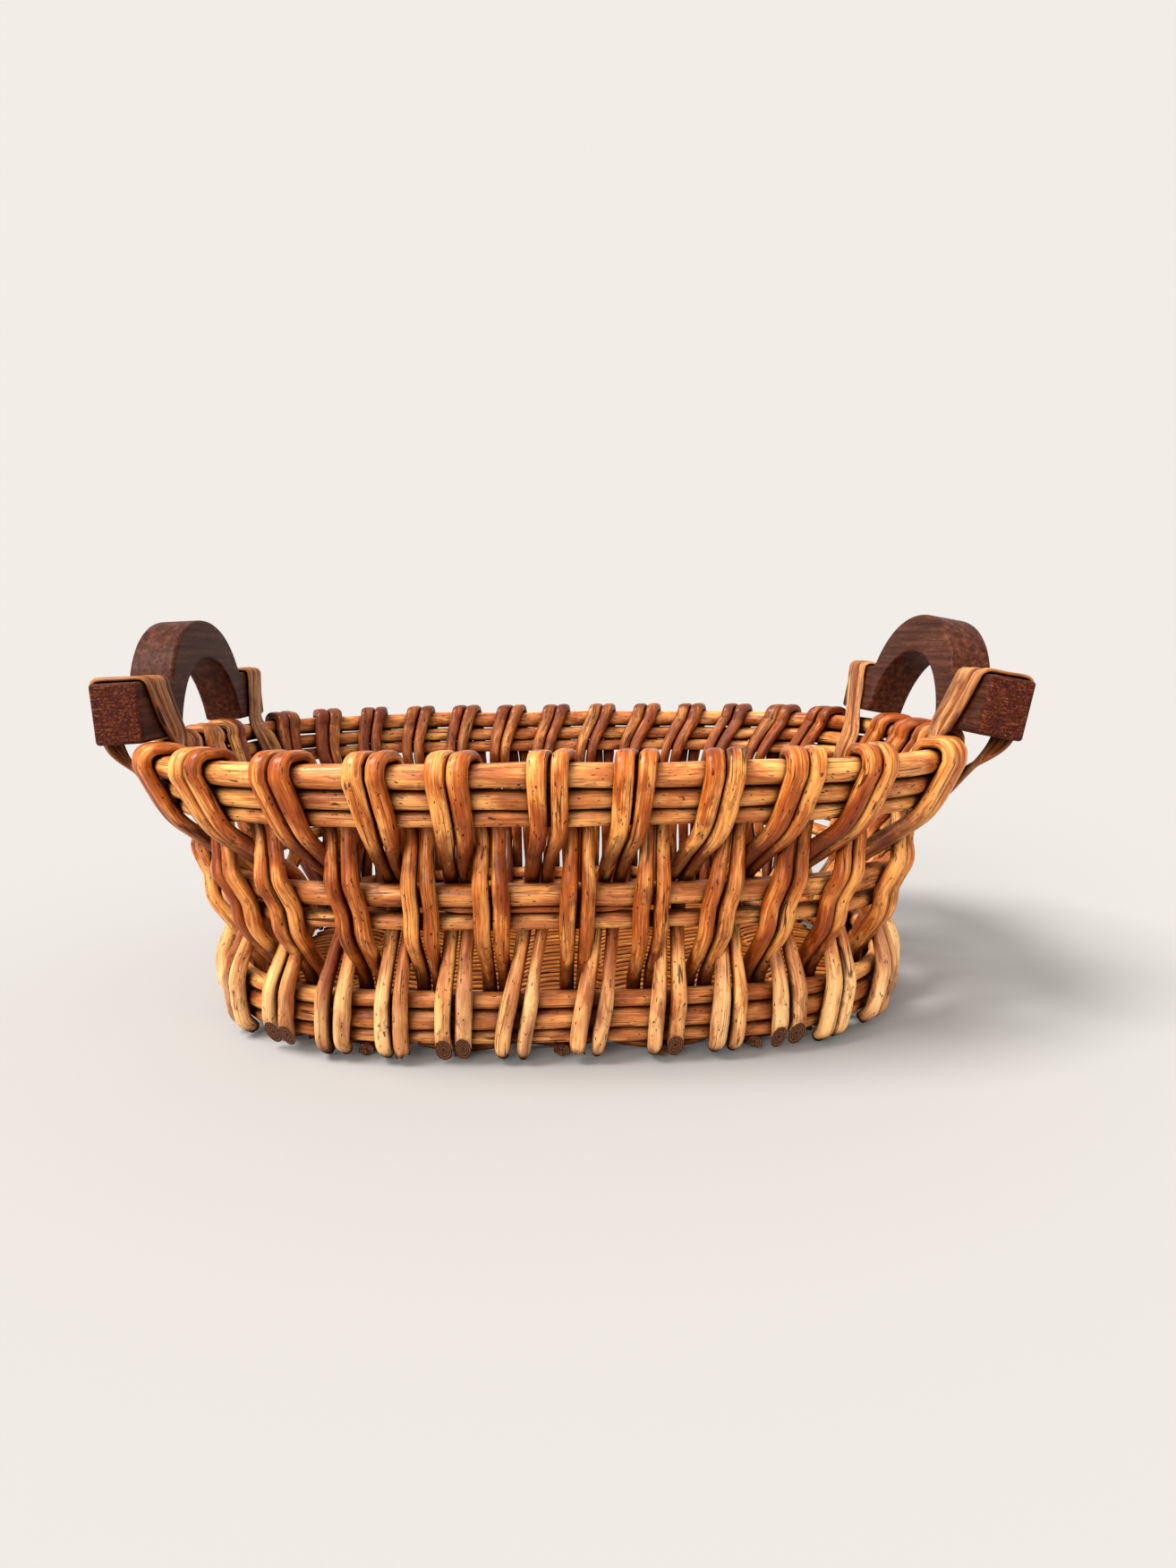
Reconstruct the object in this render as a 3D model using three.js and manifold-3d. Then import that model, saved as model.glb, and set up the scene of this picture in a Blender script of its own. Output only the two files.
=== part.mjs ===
// Woven willow basket with two wooden handles.
// Millimetres, +Z up. The base stands on z = 0, centred on the origin, with the long axis along X.
import * as THREE from 'three';
import { mergeVertices } from 'three/addons/utils/BufferGeometryUtils.js';
import Module from 'manifold-3d';

const wasm = await Module();
wasm.setup();

// ---------------------------------------------------------------- driving dimensions

const clearance = 0.3; // left between neighbouring pieces
const weldDistance = 1e-4; // within which two corners are one

// The plan is a superellipse whose half length and half width grow with height.
const squareness = 3.2;
const wallLevels = [
  { height: 0, halfLength: 155, halfWidth: 102.5 },
  { height: 18, halfLength: 157.5, halfWidth: 105 },
  { height: 70, halfLength: 160.5, halfWidth: 115 },
  { height: 126, halfLength: 186, halfWidth: 131 },
];

// Horizontal rods, each bent into a ring: height of its centre, radius and number of facets.
const rings = {
  rim_rod_1: { height: 126.1, radius: 4.9, facets: 8 },
  rim_rod_2: { height: 116.8, radius: 4.0, facets: 6 },
  rim_rod_3: { height: 109.1, radius: 3.3, facets: 6 },
  waist_rod_1: { height: 75.6, radius: 4.7, facets: 8 },
  waist_rod_2: { height: 64.0, radius: 3.2, facets: 6 },
  foot_rod_1: { height: 27.3, radius: 3.4, facets: 6 },
  foot_rod_2: { height: 18.7, radius: 4.8, facets: 8 },
  foot_rod_3: { height: 10.3, radius: 3.3, facets: 6 },
};
const ringSteps = 48;
const ringButtGap = 0.6;
const splice = { height: 69.05, radius: 1.5, from: -1.8, to: 1.1 };

// Upright stakes: two rods side by side that loop over the rim. Thirty of them go round.
const stationCount = 30;
const stationPlan = { a: 168, b: 115 }; // half length and half width where stations are evenly spaced
const stake = {
  thickness: 6.6,
  corner: 2.2, // softening of the pair's section
  standOff: 9.2, // of its centre from the wall's middle, where it passes outside a rod
  insideStandOff: 9.8, // the same where it passes inside one
  rimStandOff: 8.6, // the same just below the rim
  loopRise: 9.4, // of its centre above the top rod's centre
};
// Heights that a stake passes: its ends, past the foot rods, past the waist rods, and below the rim.
const stakeLevels = {
  footEnd: 3.5,
  returnEnd: 12.5,
  footTop: 31.5,
  lowerCrossing: 46.5,
  waistBottom: 60,
  waistTop: 80.5,
  upperCrossing: 92,
  belowRim: 105.6,
};
const loopAngles = [0, 30, 60, 90, 120, 150, 180];
// A pair is widest where it lies flattened over the rim, and is squeezed where legs pass each other.
const stakeWidths = { loop: 17.4, belowRim: 16, outerLeg: 15, innerLeg: 13.2, crossing: 12 };
const loopShift = 0.1;

// Stations of a stake, from the middle of the front towards +X: its first leg at rim, waist and
// foot, then its returning leg at waist and foot. The back stakes are evenly spaced.
const frontStakes = [
  [-4.94, -4.75, -4.95, -4.1, -4.3],
  [-4.05, -3.65, -4.05, -3.35, -3.75],
  [-3.0, -2.85, -3.2, -2.5, -2.8],
  [-2.0, -2.15, -2.35, -1.75, -1.95],
  [-1.15, -1.35, -1.5, -0.85, -0.95],
  [-0.1, -0.3, -0.7, 0.2, 0.15],
  [0.8, 0.65, 0.35, 1.1, 1.15],
  [1.75, 1.5, 1.45, 1.9, 1.9],
  [2.6, 2.3, 2.3, 2.65, 2.75],
  [3.45, 3.0, 3.2, 3.4, 3.75],
  [4.6, 3.95, 3.9, 4.5, 4.95],
];
const rightStakes = [
  [6.5, 5.3, 4.8, 6.0, 6.0],
  [7.3, 6.75, 5.9, 7.5, 7.3],
  [8.2, 8.15, 8.0, 8.75, 8.8],
];
const backStakes = { count: 13, first: 10.0, spacing: 0.838, returnShift: 0.42 };
const leftStakes = [
  [21.6, 21.3, 21.3, 21.85, 21.9],
  [22.4, 22.5, 22.6, 23.2, 23.3],
  [23.2, 23.9, 24.1, 24.65, 24.5],
];

// Base: flat-bottomed sticks across the width, under a sheet of fine weaving.
const baseStick = { width: 8, height: 6.5, corner: 1.8, spacing: 42, count: 7, overhang: 4.4 };
const weave = { bottom: 2, top: 10.5, edgeGap: 4.0, outlinePoints: 56 };

// Handles: an arch between two square feet, standing on the rim and leaning outwards.
const handle = {
  depth: 20,
  halfLength: 90.5,
  footHeight: 26,
  footTopInner: 50,
  gapHalfLength: 45,
  gapHeight: 34.5,
  height: 54,
  bevel: 1.2,
};
// Where each handle's middle sits, and its small turns, in degrees.
// Control points of the arch's outside and of the grip's opening: at the shoulder and at the crown.
const handleCurves = {
  shoulder: { x: 43, y: 41 },
  crown: 27,
  gapShoulder: { x: 40, y: 19 },
  gapCrown: 23,
};
const handlePlaces = {
  left: { side: -1, offset: 189.3, shift: 3, base: 134.4, lean: 2.5, skew: 3 },
  right: { side: 1, offset: 187.2, shift: 0, base: 134.4, lean: 10.5, skew: 1 },
};
const lashing = {
  width: 14, // beside the rim, between the stakes
  footWidth: 20,
  thickness: 3,
  height: 104.5,
  standOff: 7.8,
  footBend: 2.5, // how far short of each corner of the foot it turns
  footReach: 2, // past the underside of the foot
  rimReach: 4, // above and below the top rod's centre
  inset: 72,
  rimInset: 59,
  corner: 0.8,
};

// ---------------------------------------------------------------- materials

const varnishedWillow = new THREE.MeshStandardMaterial({ color: 0xbe7034, roughness: 0.42 });
const splitWillow = new THREE.MeshStandardMaterial({ color: 0xcd8c50, roughness: 0.5 });
const darkWood = new THREE.MeshStandardMaterial({ color: 0x704636, roughness: 0.55 });

// ---------------------------------------------------------------- the wall surface

const powerOf = (value, exponent) => Math.sign(value) * Math.abs(value) ** exponent;

function wallSize(height) {
  const upper = Math.max(1, wallLevels.findIndex((level) => level.height > height));
  const top = height >= wallLevels.at(-1).height;
  const [low, high] = top ? wallLevels.slice(-2) : wallLevels.slice(upper - 1, upper + 1);
  const share = top ? 1 : (height - low.height) / (high.height - low.height);
  return {
    a: THREE.MathUtils.lerp(low.halfLength, high.halfLength, share),
    b: THREE.MathUtils.lerp(low.halfWidth, high.halfWidth, share),
  };
}

function superellipse(angle, { a, b }) {
  return new THREE.Vector2(
    a * powerOf(Math.cos(angle), 2 / squareness),
    b * powerOf(Math.sin(angle), 2 / squareness),
  );
}

// Equal steps along the station plan define the stations; the same angle serves every height.
const tableSize = 2880;
const tableAngles = Array.from({ length: tableSize + 1 }, (_, i) => (i / tableSize - 0.25) * 2 * Math.PI);
const tableLengths = [0];
for (let i = 1; i <= tableSize; i += 1) {
  const before = superellipse(tableAngles[i - 1], stationPlan);
  const step = superellipse(tableAngles[i], stationPlan).distanceTo(before);
  tableLengths.push(tableLengths[i - 1] + step);
}

function stationAngle(station) {
  const turns = THREE.MathUtils.euclideanModulo(station / stationCount, 1);
  const length = turns * tableLengths[tableSize];
  const next = Math.max(1, tableLengths.findIndex((value) => value >= length));
  const share = (length - tableLengths[next - 1]) / (tableLengths[next] - tableLengths[next - 1]);
  return THREE.MathUtils.lerp(tableAngles[next - 1], tableAngles[next], share);
}

// A point at an angle and height, moved outwards from the wall, with its outward direction.
function wallPoint(angle, height, outwards = 0) {
  const size = wallSize(height);
  const plan = superellipse(angle, size);
  const normal = new THREE.Vector2(
    powerOf(plan.x / size.a, squareness - 1) / size.a,
    powerOf(plan.y / size.b, squareness - 1) / size.b,
  ).normalize();
  return {
    point: new THREE.Vector3(plan.x + outwards * normal.x, plan.y + outwards * normal.y, height),
    along: new THREE.Vector3(-normal.y, normal.x, 0),
  };
}

// ---------------------------------------------------------------- sweeping a section along a route

// A route through given points, whose section keeps its first axis along the given directions.
class Route extends THREE.Curve {
  constructor(points, sideways) {
    super();
    this.points = points;
    this.sideways = sideways;
  }

  getPoint(t) {
    const place = t * (this.points.length - 1);
    const index = Math.min(Math.floor(place), this.points.length - 2);
    return this.points[index].clone().lerp(this.points[index + 1], place - index);
  }

  getSpacedPoints() {
    return this.points;
  }

  computeFrenetFrames() {
    const last = this.points.length - 1;
    const legs = this.points.slice(1).map((point, i) => point.clone().sub(this.points[i]).normalize());
    const tangents = this.points.map((_, i) => {
      const before = legs[Math.max(i - 1, 0)];
      const after = legs[Math.min(i, last - 1)];
      return before.clone().add(after).normalize();
    });
    const normals = this.sideways;
    const binormals = tangents.map((tangent, i) => tangent.clone().cross(normals[i]).normalize());
    return { tangents, normals, binormals };
  }
}

// Places are { point, along }: the section's first axis lies along the given direction, and is
// stretched by its length.
function sweep(section, places) {
  const route = new Route(places.map(({ point }) => point), places.map(({ along }) => along));
  return new THREE.ExtrudeGeometry(section, { steps: places.length - 1, extrudePath: route });
}

function roundSection(radius, facets) {
  const corners = Array.from({ length: facets }, (_, i) => {
    const angle = ((i + 0.5) / facets) * 2 * Math.PI;
    return new THREE.Vector2(radius * Math.cos(angle), radius * Math.sin(angle));
  });
  return new THREE.Shape(corners);
}

function softBox(width, height, corner) {
  const x = width / 2;
  const y = height / 2;
  return new THREE.Shape([
    new THREE.Vector2(x, -y + corner),
    new THREE.Vector2(x, y - corner),
    new THREE.Vector2(x - corner, y),
    new THREE.Vector2(-x + corner, y),
    new THREE.Vector2(-x, y - corner),
    new THREE.Vector2(-x, -y + corner),
    new THREE.Vector2(-x + corner, -y),
    new THREE.Vector2(x - corner, -y),
  ]);
}

// A box one unit wide, for a route that gives the width. Its corner is cut for the widest place.
function unitBox(height, corner) {
  const cut = corner / stakeWidths.loop;
  const half = height / 2;
  const outline = [[0.5, -half + corner], [0.5, half - corner], [0.5 - cut, half], [-0.5 + cut, half]];
  const corners = [...outline, ...outline.map(([x, y]) => [-x, -y])];
  return new THREE.Shape(corners.map(([x, y]) => new THREE.Vector2(x, y)));
}

// ---------------------------------------------------------------- pieces

const basket = new THREE.Group();
const upwards = new THREE.Vector3(0, 0, 1);

function addPiece(name, geometry, material, parent = basket) {
  const mesh = new THREE.Mesh(geometry, material);
  mesh.name = name;
  parent.add(mesh);
  return mesh;
}

// A rod bent into a ring, its two ends butted together in the middle of the back.
function ringRod({ height, radius, facets }) {
  const halfGap = (ringButtGap / 2 / wallSize(height).a) ** (squareness / 2);
  const places = Array.from({ length: ringSteps + 1 }, (_, i) => {
    const turn = THREE.MathUtils.lerp(halfGap, 2 * Math.PI - halfGap, i / ringSteps);
    return { point: wallPoint(Math.PI / 2 + turn, height).point, along: upwards };
  });
  return sweep(roundSection(radius, facets), places);
}

function spliceRod({ height, radius, from, to }) {
  const steps = 4;
  const places = Array.from({ length: steps + 1 }, (_, i) => {
    const station = THREE.MathUtils.lerp(from, to, i / steps);
    return { point: wallPoint(stationAngle(station), height).point, along: upwards };
  });
  return sweep(roundSection(radius, 6), places);
}

// Every stake's stations: first leg a, returning leg b, each at rim, waist and foot.
function stakeStations() {
  const back = Array.from({ length: backStakes.count }, (_, i) => {
    const first = backStakes.first + i * backStakes.spacing;
    const returning = first + backStakes.returnShift;
    return [first, first, first, returning, returning];
  });
  return [...frontStakes, ...rightStakes, ...back, ...leftStakes].map((row) => ({
    a: { rim: row[0], waist: row[1], foot: row[2] },
    b: { rim: row[0] + loopShift, waist: row[3], foot: row[4] },
  }));
}

// Where legs pass each other between two levels, they push apart until they share the room.
function crossingStations(stakes, upper, lower) {
  const legs = stakes.flatMap(({ a, b }) => [a, b]);
  let stations = legs.map((leg) => (leg[upper] + leg[lower]) / 2);
  const count = stations.length;
  const neighbour = (list, i) => list[(i + count) % count] + stationCount * Math.floor(i / count);
  for (let pass = 0; pass < 4; pass += 1) {
    const current = stations;
    stations = current.map((station, i) => {
      const middle = (neighbour(current, i - 1) + neighbour(current, i + 1)) / 2;
      return (station + middle) / 2;
    });
  }
  return stations;
}

// A stake: outside the foot rods, inside the waist, outside and over the rim, then back down.
function stakeRoute({ a, b }, upperCross, lowerCross) {
  const { standOff, insideStandOff, rimStandOff, loopRise } = stake;
  const { loop: loopWidth, belowRim, outerLeg, innerLeg, crossing } = stakeWidths;
  const level = stakeLevels;
  const up = [
    [a.foot, level.footEnd, standOff, outerLeg],
    [a.foot, level.footTop, standOff, outerLeg],
    [lowerCross[0], level.lowerCrossing, 0, crossing],
    [a.waist, level.waistBottom, -insideStandOff, innerLeg],
    [a.waist, level.waistTop, -insideStandOff, innerLeg],
    [upperCross[0], level.upperCrossing, 0, crossing],
    [a.rim, level.belowRim, rimStandOff, belowRim],
  ];
  const loop = loopAngles.map((degrees) => {
    const turn = THREE.MathUtils.degToRad(degrees);
    const station = THREE.MathUtils.lerp(a.rim, b.rim, degrees / 180);
    const height = rings.rim_rod_1.height + loopRise * Math.sin(turn);
    return [station, height, standOff * Math.cos(turn), loopWidth];
  });
  const down = [
    [b.rim, level.belowRim, -rimStandOff, innerLeg],
    [upperCross[1], level.upperCrossing, 0, crossing],
    [b.waist, level.waistTop, standOff, outerLeg],
    [b.waist, level.waistBottom, standOff, outerLeg],
    [lowerCross[1], level.lowerCrossing, 0, crossing],
    [b.foot, level.footTop, -insideStandOff, innerLeg],
    [b.foot, level.returnEnd, -insideStandOff, innerLeg],
  ];
  return [...up, ...loop, ...down].map(([station, height, outwards, width]) => {
    const { point, along } = wallPoint(stationAngle(station), height, outwards);
    return { point, along: along.multiplyScalar(width) };
  });
}

// manifold-3d joins and cuts: to a solid, and back to a geometry.
function toSolid(geometry) {
  const bare = geometry.clone();
  bare.deleteAttribute('normal');
  bare.deleteAttribute('uv');
  const merged = mergeVertices(bare, weldDistance);
  return new wasm.Manifold(new wasm.Mesh({
    numProp: 3,
    vertProperties: new Float32Array(merged.attributes.position.array),
    triVerts: new Uint32Array(merged.index.array),
  }));
}

function toGeometry(solid) {
  const mesh = solid.getMesh();
  const geometry = new THREE.BufferGeometry();
  geometry.setAttribute('position', new THREE.BufferAttribute(new Float32Array(mesh.vertProperties), 3));
  geometry.setIndex(new THREE.BufferAttribute(new Uint32Array(mesh.triVerts), 1));
  return geometry;
}

function stickPositions() {
  const middle = (baseStick.count - 1) / 2;
  return Array.from({ length: baseStick.count }, (_, i) => (i - middle) * baseStick.spacing);
}

// A stick lies along Y, from just past the foot rods at the front to the same at the back.
function stickGeometry(x, growth = 0) {
  const size = wallSize(rings.foot_rod_3.height);
  const widest = Math.abs(x) + baseStick.width / 2;
  const reach = size.b * (1 - (widest / size.a) ** squareness) ** (1 / squareness);
  const length = 2 * (reach + baseStick.overhang + growth);
  const section = softBox(baseStick.width + 2 * growth, baseStick.height + 2 * growth, baseStick.corner);
  const geometry = new THREE.ExtrudeGeometry(section, { depth: length, bevelEnabled: false });
  geometry.rotateX(Math.PI / 2);
  geometry.translate(x, length / 2, baseStick.height / 2);
  return geometry;
}

// The woven floor, a sheet inside the foot rods with a channel for every stick.
function weaveGeometry() {
  const size = wallSize(rings.foot_rod_3.height);
  const outline = new THREE.Shape(Array.from({ length: weave.outlinePoints }, (_, i) => {
    const angle = ((i + 0.5) / weave.outlinePoints) * 2 * Math.PI;
    return superellipse(angle, { a: size.a - weave.edgeGap, b: size.b - weave.edgeGap });
  }));
  const depth = weave.top - weave.bottom;
  const sheet = new THREE.ExtrudeGeometry(outline, { depth, bevelEnabled: false });
  sheet.translate(0, 0, weave.bottom);
  let solid = toSolid(sheet);
  for (const x of stickPositions()) solid = solid.subtract(toSolid(stickGeometry(x, clearance)));
  return toGeometry(solid);
}

// The handle's face in its own plane: along the basket's end, and up from the rim.
function handleGeometry() {
  const { halfLength, footHeight, footTopInner, gapHalfLength, gapHeight, height, depth, bevel } = handle;
  const { shoulder, crown, gapShoulder, gapCrown } = handleCurves;
  const face = new THREE.Shape();
  face.moveTo(halfLength - bevel, bevel);
  face.lineTo(halfLength - bevel, footHeight - bevel);
  face.lineTo(footTopInner, footHeight - bevel);
  face.bezierCurveTo(shoulder.x, shoulder.y, crown, height - bevel, 0, height - bevel);
  face.bezierCurveTo(-crown, height - bevel, -shoulder.x, shoulder.y, -footTopInner, footHeight - bevel);
  face.lineTo(-halfLength + bevel, footHeight - bevel);
  face.lineTo(-halfLength + bevel, bevel);
  face.lineTo(-gapHalfLength - bevel, bevel);
  face.bezierCurveTo(-gapShoulder.x, gapShoulder.y, -gapCrown, gapHeight + bevel, 0, gapHeight + bevel);
  face.bezierCurveTo(gapCrown, gapHeight + bevel, gapShoulder.x, gapShoulder.y, gapHalfLength + bevel, bevel);
  const geometry = new THREE.ExtrudeGeometry(face, {
    depth: depth - 2 * bevel,
    bevelSize: bevel,
    bevelThickness: bevel,
    bevelSegments: 1,
    curveSegments: 8,
  });
  geometry.translate(0, 0, bevel - depth / 2);
  geometry.rotateX(Math.PI / 2);
  geometry.rotateZ(Math.PI / 2);
  return geometry;
}

// A nested frame for each handle: side is -1 on the left and +1 on the right.
function handleFrame({ side, offset, shift, base, lean, skew }) {
  const frame = new THREE.Group();
  frame.position.set(side * offset, shift, base);
  frame.rotation.y = side * THREE.MathUtils.degToRad(lean);
  frame.rotation.z = THREE.MathUtils.degToRad(skew);
  frame.updateMatrix();
  return frame;
}

// A lashing of split willow: up outside the rim, over the handle's foot and down inside the rim.
function lashingGeometry(frame, side, end) {
  const half = handle.depth / 2 + lashing.thickness / 2 + clearance;
  const top = handle.footHeight + lashing.thickness / 2 + clearance;
  const { footBend: bend, footReach: reach, rimReach } = lashing;
  const y = end * lashing.inset;
  const along = new THREE.Vector3(0, side, 0).transformDirection(frame.matrix);
  along.multiplyScalar(lashing.footWidth / lashing.width);
  const overFoot = [
    [half, -reach],
    [half, top - bend],
    [half - bend, top],
    [-half + bend, top],
    [-half, top - bend],
    [-half, reach],
  ].map(([across, up]) => ({
    point: new THREE.Vector3(side * across, y, up).applyMatrix4(frame.matrix),
    along,
  }));
  const endAngle = (side > 0 ? 0 : Math.PI) + side * end * lashingAngle();
  const beside = (height, outwards) => wallPoint(endAngle, height, outwards);
  const places = [
    beside(lashing.height, lashing.standOff),
    beside(rings.rim_rod_1.height - rimReach, lashing.standOff),
    ...overFoot,
    beside(rings.rim_rod_1.height + rimReach, -lashing.standOff),
    beside(lashing.height, -lashing.standOff),
  ];
  return sweep(softBox(lashing.width, lashing.thickness, lashing.corner), places);
}

// The plan angle, from the middle of an end, at which the rim lies abreast of the lashing.
function lashingAngle() {
  const { b } = wallSize(rings.rim_rod_2.height);
  return Math.asin((lashing.rimInset / b) ** (squareness / 2));
}

// ---------------------------------------------------------------- assembly

for (const [name, ring] of Object.entries(rings)) addPiece(name, ringRod(ring), varnishedWillow);
addPiece('waist_splice', spliceRod(splice), varnishedWillow);

const stakeSection = unitBox(stake.thickness, stake.corner);
const stakes = stakeStations();
const upperCrossing = crossingStations(stakes, 'rim', 'waist');
const lowerCrossing = crossingStations(stakes, 'waist', 'foot');
stakes.forEach((stations, i) => {
  const upper = upperCrossing.slice(2 * i, 2 * i + 2);
  const lower = lowerCrossing.slice(2 * i, 2 * i + 2);
  const name = `stake_${String(i + 1).padStart(2, '0')}`;
  addPiece(name, sweep(stakeSection, stakeRoute(stations, upper, lower)), varnishedWillow);
});

addPiece('base_weave', weaveGeometry(), varnishedWillow);
stickPositions().forEach((x, i) => addPiece(`base_stick_${i + 1}`, stickGeometry(x), varnishedWillow));

for (const [name, place] of Object.entries(handlePlaces)) {
  const frame = handleFrame(place);
  basket.add(frame);
  addPiece(`handle_${name}`, handleGeometry(), darkWood, frame);
  addPiece(`lashing_${name}_front`, lashingGeometry(frame, place.side, -1), splitWillow);
  addPiece(`lashing_${name}_back`, lashingGeometry(frame, place.side, 1), splitWillow);
}

export default basket;
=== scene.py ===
# Looks of the woven willow basket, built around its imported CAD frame.
# Shapes are worked out in millimetres in the frame's own axes, and scaled to metres in each mesh.
import math

import bpy
import numpy as np
from mathutils import Matrix, Vector


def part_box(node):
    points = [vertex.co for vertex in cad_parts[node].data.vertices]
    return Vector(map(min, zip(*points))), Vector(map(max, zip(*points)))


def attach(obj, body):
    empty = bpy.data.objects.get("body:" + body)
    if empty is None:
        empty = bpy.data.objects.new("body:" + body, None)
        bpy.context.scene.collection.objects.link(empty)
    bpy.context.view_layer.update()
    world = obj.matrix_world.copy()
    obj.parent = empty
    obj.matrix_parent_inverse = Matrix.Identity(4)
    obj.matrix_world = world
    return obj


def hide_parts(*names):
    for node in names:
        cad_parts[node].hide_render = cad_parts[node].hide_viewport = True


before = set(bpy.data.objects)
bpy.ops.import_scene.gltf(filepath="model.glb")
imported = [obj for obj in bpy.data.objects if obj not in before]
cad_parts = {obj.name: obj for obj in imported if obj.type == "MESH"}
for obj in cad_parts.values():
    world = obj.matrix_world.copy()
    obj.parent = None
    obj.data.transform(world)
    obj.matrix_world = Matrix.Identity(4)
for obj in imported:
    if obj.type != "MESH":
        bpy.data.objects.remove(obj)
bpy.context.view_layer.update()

MM = 0.001

# ---------------------------------------------------------------- the wall, as in the CAD

SQUARENESS = 3.2
WALL_HEIGHTS = [0, 18, 70, 126]
WALL_HALF_LENGTHS = [155, 157.5, 160.5, 186]
WALL_HALF_WIDTHS = [102.5, 105, 115, 131]
STATIONS = 30
STATION_PLAN = (168, 115)
TABLE_SIZE = 2880

# Rings of willow: height of the centre and radius.
RINGS = {
    "rim_rod_1": (126.1, 4.9),
    "rim_rod_2": (116.8, 4.2),
    "rim_rod_3": (109.1, 3.6),
    "waist_rod_1": (75.6, 4.7),
    "waist_rod_2": (64.0, 3.6),
    "foot_rod_1": (27.3, 3.6),
    "foot_rod_2": (18.7, 4.9),
    "foot_rod_3": (10.3, 3.5),
}


def power_of(value, exponent):
    return np.sign(value) * np.abs(value) ** exponent


def wall_size(height):
    length = np.interp(height, WALL_HEIGHTS, WALL_HALF_LENGTHS)
    return length, np.interp(height, WALL_HEIGHTS, WALL_HALF_WIDTHS)


def superellipse(angle, a, b):
    return a * power_of(np.cos(angle), 2 / SQUARENESS), b * power_of(np.sin(angle), 2 / SQUARENESS)


TABLE_ANGLES = (np.arange(TABLE_SIZE + 1) / TABLE_SIZE - 0.25) * 2 * np.pi
TABLE_X, TABLE_Y = superellipse(TABLE_ANGLES, *STATION_PLAN)
TABLE_LENGTHS = np.concatenate([[0], np.cumsum(np.hypot(np.diff(TABLE_X), np.diff(TABLE_Y)))])


def station_angle(station):
    """The plan angle of a station: equal steps along the station plan, from the middle of the front."""
    turns = np.mod(np.asarray(station, float) / STATIONS, 1)
    return np.interp(turns * TABLE_LENGTHS[-1], TABLE_LENGTHS, TABLE_ANGLES)


def wall_at(angle, height, out):
    """Points on the wall, moved outwards, with their directions along the wall and out of it."""
    rows = [np.atleast_1d(np.asarray(value, float)) for value in (angle, height, out)]
    angle, height, out = np.broadcast_arrays(*rows)
    a, b = wall_size(height)
    x, y = superellipse(angle, a, b)
    nx, ny = power_of(x / a, SQUARENESS - 1) / a, power_of(y / b, SQUARENESS - 1) / b
    size = np.hypot(nx, ny)
    nx, ny = nx / size, ny / size
    flat = np.zeros_like(nx)
    points = np.stack([x + out * nx, y + out * ny, height], 1)
    return points, np.stack([-ny, nx, flat], 1), np.stack([nx, ny, flat], 1)


# ---------------------------------------------------------------- smooth routes

def smooth(places, values, steps):
    """A monotone cubic through rows of values at increasing places, sampled about every step.

    There is one step for all the gaps between places, or one for each gap."""
    values = np.asarray(values, float)
    gaps = np.diff(places)[:, None]
    slopes = np.diff(values, axis=0) / gaps
    tangents = np.zeros_like(values)
    same = slopes[:-1] * slopes[1:] > 0
    total = np.where(same, slopes[:-1] + slopes[1:], 1)
    tangents[1:-1] = np.where(same, 2 * slopes[:-1] * slopes[1:] / total, 0)
    tangents[0], tangents[-1] = slopes[0], slopes[-1]
    steps = np.broadcast_to(steps, len(gaps))
    at = [places[:1]]
    for low, high, step in zip(places[:-1], places[1:], steps):
        at.append(np.linspace(low, high, max(2, math.ceil((high - low) / step) + 1))[1:])
    at = np.concatenate(at)
    i = np.clip(np.searchsorted(places, at, side="right") - 1, 0, len(places) - 2)
    h = gaps[i]
    t = ((at - places[i]) / gaps[i, 0])[:, None]
    return (
        (2 * t**3 - 3 * t**2 + 1) * values[i] + (t**3 - 2 * t**2 + t) * h * tangents[i]
        + (3 * t**2 - 2 * t**3) * values[i + 1] + (t**3 - t**2) * h * tangents[i + 1]
    )


def travelled(points):
    """The distance along a line of points, starting at 0."""
    return np.concatenate([[0], np.cumsum(np.linalg.norm(np.diff(points, axis=0), axis=1))])


def straighten(along, values, reach):
    """The values, each averaged with its neighbours within about its own reach along the line."""
    weights = np.exp(-(((along[:, None] - along) / reach[:, None]) ** 2)) * np.gradient(along)
    return weights @ values / weights.sum(1)


def unit(vectors):
    return vectors / np.maximum(np.linalg.norm(vectors, axis=-1, keepdims=True), 1e-9)


# ---------------------------------------------------------------- rods

class Rods:
    """The rods of one piece, and what their materials read at every vertex."""

    def __init__(self):
        self.points, self.faces, self.cuts = [], [], []
        self.grain, self.shade = [], []
        self.count = 0

    def add(self, points, faces, grain, shade, cut):
        self.points.append(points)
        self.faces += [tuple(self.count + v for v in face) for face in faces]
        self.cuts += [cut] * len(faces)
        self.grain.append(grain)
        self.shade.append(shade)
        self.count += len(points)


# How steep an oblique cut is, and how far a torn end and a sawn end run out, in millimetres.
CUT_SLOPE = 1.75
TORN_LENGTH = 3.6
SAWN_LENGTH = 0.35
# The face of a cut end: the size of its inner ring, and how far that is sunk into the rod.
CAP_INNER = 0.55
CAP_SINK = 0.25
# Waves along a rod: their size, and their shortest and longest length.
WIDTH_WAVE = (0.05, 25, 70)
PATH_WAVE = (0.35, 45, 110)
# Knots: where the first may lie, the gaps between them, their lengths, how they swell and darken the rod.
FIRST_KNOT = (12, 60)
KNOT_GAPS = (45, 110)
KNOT_LENGTHS = (1.6, 3.2)
KNOT_SWELL = 0.07
KNOT_DARK = 0.3
# How dark a rod gets at its ends, and over what length.
END_DARK = 0.35
END_DARK_LENGTH = 3.5
# Each rod's grain starts at its own place in the wood.
GRAIN_RANGE = 9000


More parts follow.
